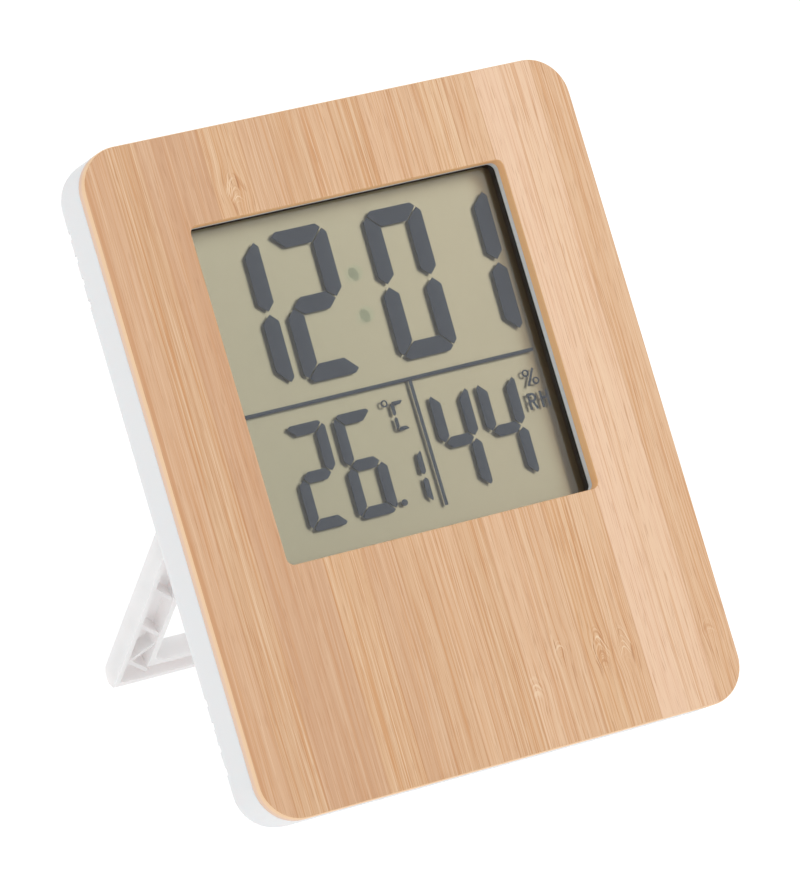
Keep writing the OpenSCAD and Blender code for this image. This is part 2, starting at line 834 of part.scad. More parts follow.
// A battery whose button points along x
module battery(z) {
    color("slategray") {
        bar_x(nub_seat - cell_l, cell_y, z, cell_d / 2, cell_l - nub_l);
        bar_x(nub_seat - nub_l, cell_y, z, nub_r, nub_l);
    }
}

module battery_upper() battery(bay_z + cell_step);
module battery_lower() mirror([1, 0, 0]) battery(bay_z - cell_step);

plate_w = 9;

module contact_plates() {
    color("silver") {
        translate([-bay_w / 2, cell_y - plate_w / 2, bay_z - cell_step - plate_w / 2])
            cube([contact_t, plate_w, 2 * cell_step + plate_w]);
        for (s = [-1, 1])
            translate([bay_w / 2 - contact_t, cell_y - plate_w / 2,
                       bay_z + s * cell_step - plate_w / 2])
                cube([contact_t, plate_w, plate_w]);
    }
}

spring_r0 = 3.8;
spring_r1 = 2.6;
spring_wire = 0.6;

module contact_spring(x, z) {
    translate([x, cell_y, z]) rotate([0, 90, 0]) difference() {
        cylinder(r1 = spring_r0, r2 = spring_r1, h = spring_l);
        translate([0, 0, -overrun])
            cylinder(r = spring_r1 - spring_wire, h = spring_l + 2 * overrun);
    }
}

module contact_springs() {
    color("silver") {
        contact_spring(-nub_seat, bay_z + cell_step);
        mirror([1, 0, 0]) contact_spring(-nub_seat, bay_z - cell_step);
    }
}

lead_r = 0.6;
bend_share = 1.15;    // how much thicker a lead is at its bends
lead_out = bay_w / 2 + bay_side + 2 * lead_r;
lead_y = board_back + 3 * lead_r;
lead_up = board_low + 2 * lead_r;

// A row of points joined by round wire
module wire(points, r) {
    for (i = [0:len(points) - 2]) {
        run = points[i + 1] - points[i];
        translate(points[i]) rotate([0, acos(run[2] / norm(run)), atan2(run[1], run[0])])
            cylinder(r = r, h = norm(run));
    }
    for (i = [1:len(points) - 2]) translate(points[i]) sphere(r = r * bend_share);
}

function lead_points(s) =
    let (x = lead_out + (1 - s) * 2 * lead_r, z = bay_z + s * cell_step)
    [[bay_w / 2, lead_y, z], [x, lead_y, z], [x, lead_y, lead_up],
     [x, board_back + lead_r, lead_up + 4 * lead_r]];

module lead_hole(s) {
    translate([bay_w / 2 - overrun, lead_y, bay_z + s * cell_step]) rotate([0, 90, 0])
        cylinder(r = lead_r + seat_gap, h = bay_side + 2 * overrun);
}

module battery_leads() {
    color("firebrick") for (s = [-1, 1]) wire(lead_points(s), lead_r);
}

grip_count = 3;
grip_pitch = 1.6;
grip_w = 0.8;
grip_l = 14;
grip_depth = 0.5;
latch_w = 10;
latch_slit = 0.8;
latch_l = 6;

module battery_door() {
    top = door_low + door_h;
    color(white) difference() {
        union() {
            block(door_w, case_d - door_t, case_d, door_axis_z, top);
            bar_x(-door_w / 2, door_axis_y, door_axis_z, door_t / 2, door_w);
            bar_x(-door_w / 2 - door_pin_l, door_axis_y, door_axis_z, door_pin_r,
                  door_w + 2 * door_pin_l);
        }
        mirrored() translate([latch_w / 2, case_d - door_t - overrun, top - latch_l])
            cube([latch_slit, door_t + 2 * overrun, latch_l + overrun]);
        for (i = [1:grip_count])
            block(latch_w - grip_w, case_d - grip_depth, case_d + overrun,
                  top - i * grip_pitch - grip_w / 2, top - i * grip_pitch + grip_w / 2);
    }
}

heel_r = 3;
rib_t = 0.9;
rib_drop = 0.4;
rib_end = 7.5;        // distance of the last rib's middle from the foot
brace_end = 11.9;     // the same for the brace that crosses it
channel_w = rail_w - 2 * rail_wall;
frame_in = stand_w - 2 * rail_w;

// Side view of the folded stand about its axis, in y and z. Its sole is level when open.
module stand_section() {
    sole_turn = stand_open - lean;
    difference() {
        union() {
            translate([-axle_r, heel_r - stand_len]) square([stand_t, stand_len - heel_r]);
            intersection() {
                translate([axle_r - heel_r, heel_r - stand_len]) circle(r = heel_r);
                translate([-axle_r, -stand_len]) square([stand_t, 2 * heel_r]);
            }
            circle(r = axle_r);
            polygon([[0, 0], [stop_y, stop_z], [axle_r, lug_z], [axle_r, 0]]);
        }
        translate([-axle_r, -sole_len]) rotate(-sole_turn) translate([-stand_t, -2 * stand_t])
            square([3 * stand_t, 2 * stand_t]);
    }
}

// Extrudes a side view of y and z along x, centred
module along_x(w) {
    rotate([90, 0, 90]) translate([0, 0, -w / 2]) linear_extrude(height = w) children();
}

// The hollow of the rails and the foot bar, open to the front
module stand_channel() {
    depth = stand_t - skin_t;
    difference() {
        translate([-stand_w / 2 + rail_wall, -axle_r - overrun, -stand_len - overrun])
            cube([stand_w - 2 * rail_wall, depth + overrun, stand_len + overrun - top_bar]);
        translate([-frame_in / 2 - rail_wall, -stand_t, -stand_len + foot_bar - rail_wall])
            cube([frame_in + 2 * rail_wall, 2 * stand_t, 2 * stand_len]);
        translate([-stand_w, -stand_t, rail_wall - sole_len - stand_t])
            cube([2 * stand_w, 2 * stand_t, stand_t]);
    }
}

// A slanting rib across a rail, its middle at a distance from the foot
module stand_rib(end, turn) {
    rib_l = (channel_w + rail_wall) * sqrt(2);
    translate([(rail_w - stand_w) / 2, -axle_r + rib_drop, end - stand_len])
        rotate([0, turn, 0]) translate([-rib_l / 2, 0, -rib_t / 2])
            cube([rib_l, stand_t - rib_drop - skin_t / 2, rib_t]);
}

module stand_ribs() {
    count = floor((stand_len - axle_r - rib_end - rail_w / 2) / rib_pitch);
    mirrored() {
        for (i = [0:count]) stand_rib(rib_end + i * rib_pitch, 45);
        stand_rib(brace_end, -45);
    }
}

module stand_folded() {
    difference() {
        along_x(stand_w) stand_section();
        sheet(-stand_t, 2 * stand_t) translate([0, foot_bar - stand_len])
            tongue_rect(frame_in, stand_len - foot_bar - top_bar, frame_r);
        stand_channel();
    }
    stand_ribs();
    mirrored() bar_x(stand_w / 2 - overrun, 0, 0, pin_r, pin_l + overrun);
}

module stand() {
    color(white) translate([0, hinge_y, hinge_z]) rotate([stand_open, 0, 0]) stand_folded();
}

standing() wood_panel();
standing() panel_adhesive();
standing() front_frame();
standing() rear_cover();
standing() front_polariser();
standing() front_glass();
standing() lcd_segments();
standing() rear_glass();
standing() reflector_film();
standing() display_backing();
standing() contact_strip();
standing() circuit_board();
standing() chip_blob();
standing() quartz_crystal();
standing() board_parts();
standing() humidity_sensor();
standing() thermistor();
standing() buzzer_disc();
standing() switch_bodies();
standing() board_screws();
standing() case_screws();
standing() battery_upper();
standing() battery_lower();
standing() contact_plates();
standing() contact_springs();
standing() battery_leads();
standing() battery_door();
standing() stand();
standing() mode_button();
standing() up_button();
standing() down_button();
standing() memory_button();
standing() mode_plunger();
standing() up_plunger();
standing() down_plunger();
standing() memory_plunger();
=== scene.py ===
import math

import bmesh
import bpy
from mathutils import Matrix, Vector


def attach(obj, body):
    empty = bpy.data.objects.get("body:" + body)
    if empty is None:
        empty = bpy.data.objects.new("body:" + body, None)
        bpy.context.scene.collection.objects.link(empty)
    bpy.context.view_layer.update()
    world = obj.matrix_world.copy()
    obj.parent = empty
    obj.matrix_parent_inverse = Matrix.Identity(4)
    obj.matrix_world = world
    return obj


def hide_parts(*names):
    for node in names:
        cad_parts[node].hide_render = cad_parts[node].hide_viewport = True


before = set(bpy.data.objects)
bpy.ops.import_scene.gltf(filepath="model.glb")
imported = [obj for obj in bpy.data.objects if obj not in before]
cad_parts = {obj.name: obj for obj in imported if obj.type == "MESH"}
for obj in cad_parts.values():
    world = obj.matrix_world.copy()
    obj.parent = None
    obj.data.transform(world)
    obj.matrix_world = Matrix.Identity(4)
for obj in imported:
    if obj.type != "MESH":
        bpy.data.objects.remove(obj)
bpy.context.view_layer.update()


# Camera: a long lens to the left of the station and above it, aimed a little down.
# The frame is 800 by 884; the shift puts the lens's axis where the picture has it.

frame_high = 884
focal_pixels = 5448.8
axis_right = 50.0
axis_down = 104.06
turn = math.radians(30.24)
dip = math.radians(26.11)
eye = (-0.5005, -0.877864, 0.530250)
film_wide = 36.0

ahead = Vector((math.sin(turn) * math.cos(dip), math.cos(turn) * math.cos(dip), -math.sin(dip)))
sideways = Vector((math.cos(turn), -math.sin(turn), 0.0))
camera = bpy.data.objects.new("camera", bpy.data.cameras.new("camera"))
camera.matrix_world = Matrix((sideways, sideways.cross(ahead), -ahead)).transposed().to_4x4()
camera.location = eye
camera.data.sensor_width = film_wide
camera.data.lens = focal_pixels / frame_high * film_wide
camera.data.shift_x = -axis_right / frame_high
camera.data.shift_y = axis_down / frame_high
camera.data.clip_start = 0.05
camera.data.clip_end = 20.0
bpy.context.scene.collection.objects.link(camera)
bpy.context.scene.camera = camera
bpy.context.scene.view_settings.view_transform = "Standard"


# Studio: a white sweep that the eye sees as plain white, and soft boxes over it.
# The floor is lit from below like a light table and takes a faint shadow of the station.

def add_node(tree, kind, inputs=None, **settings):
    """One node: settings are its own fields, inputs are values or sockets by name or number."""
    node = tree.nodes.new(kind)
    for field, value in settings.items():
        setattr(node, field, value)
    for key, value in (inputs or {}).items():
        if isinstance(value, bpy.types.NodeSocket):
            tree.links.new(value, node.inputs[key])
        else:
            node.inputs[key].default_value = value
    return node


def seen_directly(tree):
    """1 for rays from the eye, a mirror or through glass, 0 for light that falls on things."""
    path = add_node(tree, "ShaderNodeLightPath")
    either = add_node(tree, "ShaderNodeMath",
                      {0: path.outputs["Is Camera Ray"], 1: path.outputs["Is Glossy Ray"]},
                      operation="MAXIMUM")
    return add_node(tree, "ShaderNodeMath",
                    {0: either.outputs[0], 1: path.outputs["Is Transmission Ray"]},
                    operation="MAXIMUM").outputs[0]


white = (1.0, 1.0, 1.0, 1.0)
room_strength, sweep_strength = 0.74, 1.0
world = bpy.data.worlds.new("sweep")
bpy.context.scene.world = world
world.use_nodes = True
sky = world.node_tree
sky.nodes.clear()
room_light = add_node(sky, "ShaderNodeBackground", {"Color": white, "Strength": room_strength})
white_sweep = add_node(sky, "ShaderNodeBackground", {"Color": white, "Strength": sweep_strength})
sky_mix = add_node(sky, "ShaderNodeMixShader",
                   {0: seen_directly(sky), 1: room_light.outputs[0], 2: white_sweep.outputs[0]})
add_node(sky, "ShaderNodeOutputWorld", {"Surface": sky_mix.outputs[0]})

floor_half, floor_grey = 2.0, 0.42
floor_glow, floor_glow_seen = 0.62, 0.80
floor_mesh = bpy.data.meshes.new("floor")
floor_mesh.from_pydata([(-floor_half, -floor_half, 0.0), (floor_half, -floor_half, 0.0),
                        (floor_half, floor_half, 0.0), (-floor_half, floor_half, 0.0)],
                       [], [(0, 1, 2, 3)])
floor = bpy.data.objects.new("floor", floor_mesh)
bpy.context.scene.collection.objects.link(floor)
floor_paint = bpy.data.materials.new("floor_paint")
floor_paint.use_nodes = True
paint = floor_paint.node_tree
paint.nodes.clear()
matt = add_node(paint, "ShaderNodeBsdfDiffuse",
                {"Color": (floor_grey, floor_grey, floor_grey, 1.0)})
backlight = add_node(paint, "ShaderNodeMapRange",
                     {0: seen_directly(paint), 3: floor_glow, 4: floor_glow_seen})
glow = add_node(paint, "ShaderNodeEmission", {"Color": white, "Strength": backlight.outputs[0]})
both = add_node(paint, "ShaderNodeAddShader", {0: matt.outputs[0], 1: glow.outputs[0]})
add_node(paint, "ShaderNodeOutputMaterial", {"Surface": both.outputs[0]})
floor_mesh.materials.append(floor_paint)


station_middle = Vector((0.0, 0.0, 0.06))


def softbox(name, place, size, watts):
    """A square lamp aimed at the middle of the station."""
    lamp = bpy.data.lights.new(name, "AREA")
    lamp.size = size
    lamp.energy = watts
    holder = bpy.data.objects.new(name, lamp)
    holder.location = place
    aim = station_middle - Vector(place)
    holder.rotation_euler = aim.to_track_quat("-Z", "Y").to_euler()
    bpy.context.scene.collection.objects.link(holder)


softbox("key_softbox", (0.62, -0.64, 1.03), 0.7, 2.2)
softbox("fill_softbox", (-0.78, -0.62, 0.96), 0.9, 2.2)


# Bamboo front: a 3 mm board glued up from upright strips, sanded flat and lightly lacquered.
# The edges are eased by hand, and the window is routed through it.

mm = 0.001
lean = math.radians(34.2303)
case_back = 45.8635
case_drop = -6.2503
standing = (Matrix.Translation((0.0, -case_back * mm, -case_drop * mm))
            @ Matrix.Rotation(-lean, 4, "X"))


def colour(red, green, blue):
    """A paint colour given as it looks on a screen, 0 to 255."""
    linear = [((c / 255 + 0.055) / 1.055) ** 2.4 if c > 10 else c / 255 / 12.92
              for c in (red, green, blue)]
    return (*linear, 1.0)


def math_node(tree, operation, first, second=0.0):
    """The result of one sum on two values or sockets."""
    return add_node(tree, "ShaderNodeMath", {0: first, 1: second}, operation=operation).outputs[0]


def times(tree, first, second):
    return math_node(tree, "MULTIPLY", first, second)


def plus(tree, first, second):
    return math_node(tree, "ADD", first, second)


def less(tree, first, second):
    return math_node(tree, "SUBTRACT", first, second)


def mix_colour(tree, share, first, second, how="MIX"):
    """The first colour at a share of 0, the second at 1."""
    node = add_node(tree, "ShaderNodeMix", {0: share, 6: first, 7: second}, data_type="RGBA",
                    blend_type=how)
    return node.outputs[2]


def case_place(tree):
    """Millimetres across, into and up the leaning case."""
    here = add_node(tree, "ShaderNodeTexCoord")
    turned = add_node(tree, "ShaderNodeMapping",
                      {"Vector": here.outputs["Object"],
                       "Location": (0.0, -case_back * mm, -case_drop * mm),
                       "Rotation": (-lean, 0.0, 0.0), "Scale": (mm, mm, mm)}, vector_type="TEXTURE")
    return turned.outputs[0]


def new_finish(name, roughness, ior=1.46):
    """A new material with its node tree and its main shader."""
    material = bpy.data.materials.new(name)
    material.use_nodes = True
    shader = material.node_tree.nodes["Principled BSDF"]
    shader.inputs["Roughness"].default_value = roughness
    shader.inputs["IOR"].default_value = ior
    return material, material.node_tree, shader


def noise(tree, place, scale, detail=2.0, rough=0.5):
    """Cloudy noise about 0.5 that turns over scale times in each unit of place."""
    return add_node(tree, "ShaderNodeTexNoise",
                    {"Vector": place, "Scale": scale, "Detail": detail,
                     "Roughness": rough}).outputs[0]


def ramp(tree, value, stops):
    """A colour ramp through (place, colour) stops."""
    node = add_node(tree, "ShaderNodeValToRGB", {0: value})
    band = node.color_ramp
    while len(band.elements) < len(stops):
        band.elements.new(0.5)
    for element, (place, tint) in zip(band.elements, stops):
        element.position = place
        element.color = tint
    return node.outputs[0]


def span(tree, value, low, high, to_low=0.0, to_high=1.0):
    """Goes smoothly from to_low to to_high as the value goes from low to high, and stops there."""
    return add_node(tree, "ShaderNodeMapRange", {0: value, 1: low, 2: high, 3: to_low, 4: to_high},
                    interpolation_type="SMOOTHSTEP").outputs[0]


def corner_ring(half_wide, low, high, radius, steps=12):
    """Points (across, up) round a rectangle with rounded corners."""
    ring = []
    beside, bottom, top = half_wide - radius, low + radius, high - radius
    for cx, cz, start in ((beside, bottom, -90), (beside, top, 0), (-beside, top, 90),
                          (-beside, bottom, 180)):
        for step in range(steps + 1):
            angle = math.radians(start + 90 * step / steps)
            ring.append((cx + radius * math.cos(angle), cz + radius * math.sin(angle)))
    return ring


def put_in_case(mesh_name, mesh, materials, smooth_below=40):
    """An object from a mesh drawn in the upright case's millimetres."""
    mesh.transform(standing @ Matrix.Scale(mm, 4))
    for polygon in mesh.polygons:
        polygon.use_smooth = True
    mesh.set_sharp_from_angle(angle=math.radians(smooth_below))
    for material in materials:
        mesh.materials.append(material)
    piece = bpy.data.objects.new(mesh_name, mesh)
    bpy.context.scene.collection.objects.link(piece)
    return piece


board_wide, board_high, board_thick, board_corner = 113.0, 140.0, 3.0, 8.7
window_half, window_low, window_high, window_corner = 36.5, 49.5, 120.7, 1.6
eased, eased_window, back_eased, guard = 0.45, 0.25, 0.12, 0.06


def eased_profile(radius):
    """(inset, depth) from the face round its eased edge, down the side and round the back."""
    round_steps = [math.radians(angle) for angle in (0, 18, 36, 54, 72, 90)]
    return ([(radius + guard, 0.0)]
            + [(radius * (1 - math.sin(a)), radius * (1 - math.cos(a))) for a in round_steps]
            + [(0.0, board_thick - back_eased), (back_eased, board_thick),
               (back_eased + guard, board_thick)])


board = bmesh.new()
outer = []
for inset, depth in eased_profile(eased):
    ring = corner_ring(board_wide / 2 - inset, inset, board_high - inset, board_corner - inset)
    outer.append([board.verts.new((x, depth, z)) for x, z in ring])
inner = []
for inset, depth in eased_profile(eased_window):
    ring = corner_ring(window_half + inset, window_low - inset, window_high + inset,
                       window_corner + inset)
    inner.append([board.verts.new((x, depth, z)) for x, z in ring])
around = len(outer[0])
for rows, flip in ((outer, False), (inner, True)):
    for first, second in zip(rows, rows[1:]):
        for i in range(around):
            j = (i + 1) % around
            face = [first[i], second[i], second[j], first[j]]
            board.faces.new(face[::-1] if flip else face)
for end in (0, -1):
    for i in range(around):
        j = (i + 1) % around
        face = [outer[end][i], outer[end][j], inner[end][j], inner[end][i]]
        board.faces.new(face if end == 0 else face[::-1])

# The glue seams from the left, and for each strip how light it is and how strongly it is lined.
seams = [-50.2, -43.1, -36.0, -29.0, -20.2, -13.0, -6.0, 1.2,
         8.0, 15.0, 22.0, 28.3, 35.1, 42.1, 49.1]
past_board = 60.0
strips = [(0.46, 0.35), (0.42, 0.80), (0.34, 0.15), (0.30, 0.10), (0.54, 0.90), (0.42, 0.50),
          (0.48, 0.75), (0.56, 0.60), (0.50, 0.85), (0.60, 0.45), (0.56, 0.60), (0.62, 0.90),
          (0.62, 0.65), (0.92, 0.10), (0.88, 0.25), (0.64, 0.60)]
for seam in seams:
    everything = board.verts[:] + board.edges[:] + board.faces[:]
    bmesh.ops.bisect_plane(board, geom=everything, dist=1e-5, plane_co=(seam, 0, 0),
                           plane_no=(1, 0, 0))
bmesh.ops.recalc_face_normals(board, faces=board.faces)
strip_tone, strip_lined, strip_left, strip_right, rim, wall = [
    board.faces.layers.float.new(layer)
    for layer in ("strip_tone", "strip_lined", "strip_left", "strip_right", "rim", "wall")]
strip_edges = [-past_board] + seams + [past_board]
for face in board.faces:
    middle = face.calc_center_median()
    strip = sum(middle.x > seam for seam in seams)
    face[strip_tone], face[strip_lined] = strips[strip]
    face[strip_left], face[strip_right] = strip_edges[strip], strip_edges[strip + 1]
    at_side = abs(middle.x) > board_wide / 2 - board_corner
    at_end = not board_corner < middle.z < board_high - board_corner
    in_window = (abs(middle.x) < window_half + 1
                 and window_low - 1 < middle.z < window_high + 1)
    turned_out = (at_side or at_end) and abs(face.normal.y) < 0.8
    face[rim] = 1.0 if turned_out and not in_window else 0.0
    face[wall] = 1.0 if in_window and abs(face.normal.y) < 0.5 else 0.0
board_mesh = bpy.data.meshes.new("bamboo_board")
board.to_mesh(board_mesh)
board.free()

bamboo, grain, bamboo_shader = new_finish("bamboo", 0.52, 1.45)
place = case_place(grain)
parts = add_node(grain, "ShaderNodeSeparateXYZ", {0: place})
tone, lined, left, right, rim_share, sawn_and_lit_wall = [
    add_node(grain, "ShaderNodeAttribute", attribute_name=layer).outputs["Fac"]
    for layer in ("strip_tone", "strip_lined", "strip_left", "strip_right", "rim", "wall")]

# Growth joints: across, up, half width, half height and strength. Each stays within its strip,
# fades away from its middle as a bell does, pinches the fibres together and makes them bow.
growth_joints = [(-24.2, 126.6, 3.0, 4.2, 1.0), (25.8, 17.8, 2.7, 5.6, 1.0),
                 (31.2, 17.2, 2.5, 4.8, 0.95), (16.8, 19.5, 3.0, 3.8, 0.66),
                 (9.0, 13.0, 3.0, 4.8, 0.66), (51.6, 16.0, 3.4, 5.0, 0.60)]
one_over_e, pinch = 0.3679, -0.42
joint_share = pushed = arched = 0.0
for across, up, wide, high, strength in growth_joints:
    in_strip = times(grain, math_node(grain, "LESS_THAN", left, across),
                     math_node(grain, "GREATER_THAN", right, across))
    off = add_node(grain, "ShaderNodeVectorMath", {0: place, 1: (across, 0.0, up)},
                   operation="SUBTRACT")
    off = add_node(grain, "ShaderNodeVectorMath",
                   {0: off.outputs[0], 1: (1 / wide, 0.0, 1 / high)}, operation="MULTIPLY")
    far = add_node(grain, "ShaderNodeVectorMath", {0: off.outputs[0], 1: off.outputs[0]},
                   operation="DOT_PRODUCT")
    bump = math_node(grain, "POWER", one_over_e, far.outputs["Value"])
    bump = times(grain, times(grain, bump, strength), in_strip)
    joint_share = plus(grain, joint_share, bump)
    side = add_node(grain, "ShaderNodeSeparateXYZ", {0: off.outputs[0]})
    push = times(grain, times(grain, side.outputs[0], pinch * wide), bump)
    pushed = plus(grain, pushed, push)
    bow = times(grain, times(grain, side.outputs[0], side.outputs[0]), bump)
    arched = plus(grain, arched, bow)

# The fibres swirl round the joints and wander a little along the board.
swirl_reach, wave_reach = 2.4, 2.0
swirl_place = add_node(grain, "ShaderNodeVectorMath", {0: place, 1: (0.30, 0.2, 0.12)},
                       operation="MULTIPLY")
swirl = less(grain, noise(grain, swirl_place.outputs[0], 1.0, 2.0), 0.5)
swirl = times(grain, swirl, times(grain, joint_share, swirl_reach))
swirl = plus(grain, swirl, pushed)
wave_place = add_node(grain, "ShaderNodeVectorMath", {0: place, 1: (0.04, 0.0, 0.012)},
                      operation="MULTIPLY")
wave = less(grain, noise(grain, wave_place.outputs[0], 1.0, 1.0), 0.5)
wave = times(grain, wave, wave_reach)
bent = plus(grain, parts.outputs[0], plus(grain, swirl, wave))
strip_apart = times(grain, left, 3.7)


def fibres(wide, long, detail, rough):
    """Noise drawn out along the strip, of a width and length in millimetres, new in each strip."""
    deep = plus(grain, math_node(grain, "DIVIDE", parts.outputs[1], wide), strip_apart)
    where = add_node(grain, "ShaderNodeCombineXYZ",
                     {0: math_node(grain, "DIVIDE", bent, wide), 1: deep,
                      2: math_node(grain, "DIVIDE", parts.outputs[2], long)})
    return noise(grain, where.outputs[0], 1.0, detail, rough)


broad = fibres(1.9, 150.0, 2.0, 0.5)
fine = fibres(0.34, 42.0, 2.0, 0.6)
hair = fibres(0.17, 24.0, 1.0, 0.6)
dash = fibres(0.24, 6.0, 1.0, 0.5)
drawn = span(grain, lined, 0.0, 1.0, 0.60, 1.10)
strip_body = ramp(grain, tone, [(0.10, colour(198, 152, 112)), (0.40, colour(212, 168, 131)),
                                (0.70, colour(230, 189, 152)), (1.0, colour(243, 209, 177))])
strip_hue = ramp(grain, lined, [(0.0, (1.0, 0.985, 1.01, 1.0)),
                                (1.0, (0.998, 1.006, 0.945, 1.0))])
strip_body = mix_colour(grain, 1.0, strip_body, strip_hue, "MULTIPLY")


def stain(body, share, most, tint):
    """The body colour turned toward a tint, by a share of the most that the tint may cover."""
    return mix_colour(grain, times(grain, share, most), body, tint)


lines = times(grain, span(grain, fine, 0.54, 0.64), drawn)
pale = times(grain, span(grain, fine, 0.45, 0.36), drawn)
hairs = times(grain, span(grain, hair, 0.56, 0.68), drawn)
specks = span(grain, dash, 0.60, 0.72)
speck_share = times(grain, specks, plus(grain, 0.36, times(grain, joint_share, 0.7)))
body = stain(strip_body, span(grain, broad, 0.36, 0.66), 0.26, colour(242, 208, 172))
body = stain(body, lines, 0.54, colour(206, 144, 88))
body = stain(body, pale, 0.32, colour(247, 218, 184))
body = stain(body, hairs, 0.50, colour(194, 128, 74))
body = mix_colour(grain, speck_share, body, colour(182, 128, 86))

# Across a growth joint the fibres bow over in arches, pale on their ridges and brown between.
arch_wide, arch_high, arch_rise = 6.0, 0.95, 14.0
risen = plus(grain, parts.outputs[2], times(grain, arched, arch_rise))
ring_place = add_node(grain, "ShaderNodeCombineXYZ",
                      {0: math_node(grain, "DIVIDE", parts.outputs[0], arch_wide),
                       2: math_node(grain, "DIVIDE", risen, arch_high)})
arches = noise(grain, ring_place.outputs[0], 1.0, 2.0, 0.6)
inner_joint = span(grain, joint_share, 0.42, 0.75)
ridge = times(grain, span(grain, arches, 0.54, 0.64), inner_joint)
hollow = times(grain, span(grain, arches, 0.46, 0.38), inner_joint)
body = stain(body, ridge, 0.70, colour(248, 220, 186))
body = stain(body, hollow, 0.58, colour(196, 140, 94))

# Thin glue lines between the strips, a darker line by the left edge, and the paler sawn edges; the
# window's walls are paler and more orange again, partly their sawn grain and partly painted light.
from_glue = math_node(grain, "MINIMUM", less(grain, parts.outputs[0], left),
                      less(grain, right, parts.outputs[0]))
glue = times(grain, span(grain, from_glue, 0.28, 0.06), span(grain, lined, 0.1, 0.9, 0.24, 0.48))
edge_line = times(grain, span(grain, parts.outputs[0], -56.3, -55.9),
                  span(grain, parts.outputs[0], -55.1, -55.5))
rim_tone = mix_colour(grain, span(grain, parts.outputs[1], 1.0, 1.9), colour(250, 214, 173),
                      colour(238, 206, 184))
body = mix_colour(grain, glue, body, colour(192, 134, 86))
body = stain(body, edge_line, 0.6, colour(204, 148, 102))
body = stain(body, rim_share, 0.85, rim_tone)
# Window walls: sawn grain and painted light together make them brighter and more orange.
body = stain(body, sawn_and_lit_wall, 0.8, colour(255, 202, 142))
grain.links.new(body, bamboo_shader.inputs["Base Color"])
rough = span(grain, fine, 0.3, 0.7, 0.46, 0.60)
grain.links.new(rough, bamboo_shader.inputs["Roughness"])
cut = plus(grain, times(grain, lines, 0.3), times(grain, hairs, 0.4))
relief = less(grain, less(grain, broad, cut), glue)
pore_depth = 0.04 * mm
pores = add_node(grain, "ShaderNodeBump",
                 {"Strength": 0.35, "Distance": pore_depth, "Height": relief})
grain.links.new(pores.outputs[0], bamboo_shader.inputs["Normal"])

bamboo_board = put_in_case("bamboo_board", board_mesh, [bamboo])
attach(bamboo_board, "case")
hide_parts("wood_panel")


# Adhesive sheet: a pale film that holds the bamboo to the frame, hidden but for its rim.
# It is die cut a little smaller than the board.

def dress(material, *nodes):
    """Gives CAD nodes a finish."""
    for name in nodes:
        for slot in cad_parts[name].material_slots:
            slot.link = "OBJECT"
            slot.material = material


skin_depth = 0.03 * mm


def plain_finish(name, base, roughness, spread=0.03, scale=2.0, bump=0.0, bump_scale=3.0,
                 metallic=0.0, ior=1.46):
    """A finish with faint drifts of tone, a roughness that wanders, and a fine skin texture.

    Both scales say how often the noise turns over in a millimetre.
    """
    material, tree, shader = new_finish(name, roughness, ior)
    where = case_place(tree)
    drift = noise(tree, where, scale, 3.0, 0.6)
    dark = tuple(c * (1 - spread) for c in base[:3]) + (1.0,)
    light = tuple(min(c * (1 + spread), 1.0) for c in base[:3]) + (1.0,)
    tree.links.new(mix_colour(tree, drift, dark, light), shader.inputs["Base Color"])
    polish = span(tree, drift, 0.3, 0.7, roughness * 0.9, roughness * 1.1)
    tree.links.new(polish, shader.inputs["Roughness"])
    shader.inputs["Metallic"].default_value = metallic
    if bump:
        skin = add_node(tree, "ShaderNodeBump",
                        {"Strength": bump, "Distance": skin_depth,
                         "Height": noise(tree, where, bump_scale, 2.0, 0.6)})
        tree.links.new(skin.outputs[0], shader.inputs["Normal"])
    return material


dress(plain_finish("adhesive_film", colour(214, 206, 188), 0.6), "panel_adhesive")


# Front frame and rear cover: white ABS mouldings, with the fine sparked texture of the tool.
# The frame's lip is the pale edge inside the window; the cover carries all the rest.

def moulded(name, base, roughness, weight, reach, depth):
    """White ABS that lets light in: how much, how far each colour goes, and how deep."""
    plastic = plain_finish(name, base, roughness, 0.012, 0.08, 0.25, 5.0, ior=1.53)
    milky = plastic.node_tree.nodes["Principled BSDF"]
    milky.inputs["Subsurface Weight"].default_value = weight
    milky.inputs["Subsurface Radius"].default_value = reach
    milky.inputs["Subsurface Scale"].default_value = depth
    return plastic


white_plastic = moulded("white_plastic", colour(237, 237, 238), 0.42, 0.35, (1.0, 0.72, 0.66),
                        3.5 * mm)
dress(white_plastic, "front_frame", "rear_cover")


# Display: two glass plates with the segments between them, a film behind and a mat backing.
# The plates are bonded in a pack, so only the front face mirrors the room.

clear, panes, pane_shader = new_finish("display_glass", 0.04)
panes.nodes.remove(pane_shader)
glass_tint = (0.985, 0.99, 0.975, 1.0)
through = add_node(panes, "ShaderNodeBsdfTransparent", {"Color": glass_tint})
gloss = add_node(panes, "ShaderNodeBsdfGlossy", {"Color": white, "Roughness": 0.05})
mirror = add_node(panes, "ShaderNodeFresnel", {"IOR": 1.40})
glass_mix = add_node(panes, "ShaderNodeMixShader", {0: mirror.outputs[0], 1: through.outputs[0],
                                                    2: gloss.outputs[0]})
panes.links.new(glass_mix.outputs[0], panes.nodes["Material Output"].inputs["Surface"])

bonded, bond, bond_shader = new_finish("bonded_glass", 0.04)
bond.nodes.remove(bond_shader)
bond_through = add_node(bond, "ShaderNodeBsdfTransparent", {"Color": glass_tint})
bond.links.new(bond_through.outputs[0], bond.nodes["Material Output"].inputs["Surface"])

ground, ground_tree, ground_shader = new_finish("ground_glass_edge", 0.6, 1.5)
ground_tone = mix_colour(ground_tree, noise(ground_tree, case_place(ground_tree), 3.0, 2.0),
                         colour(150, 168, 156), colour(182, 196, 186))
ground_tree.links.new(ground_tone, ground_shader.inputs["Base Color"])

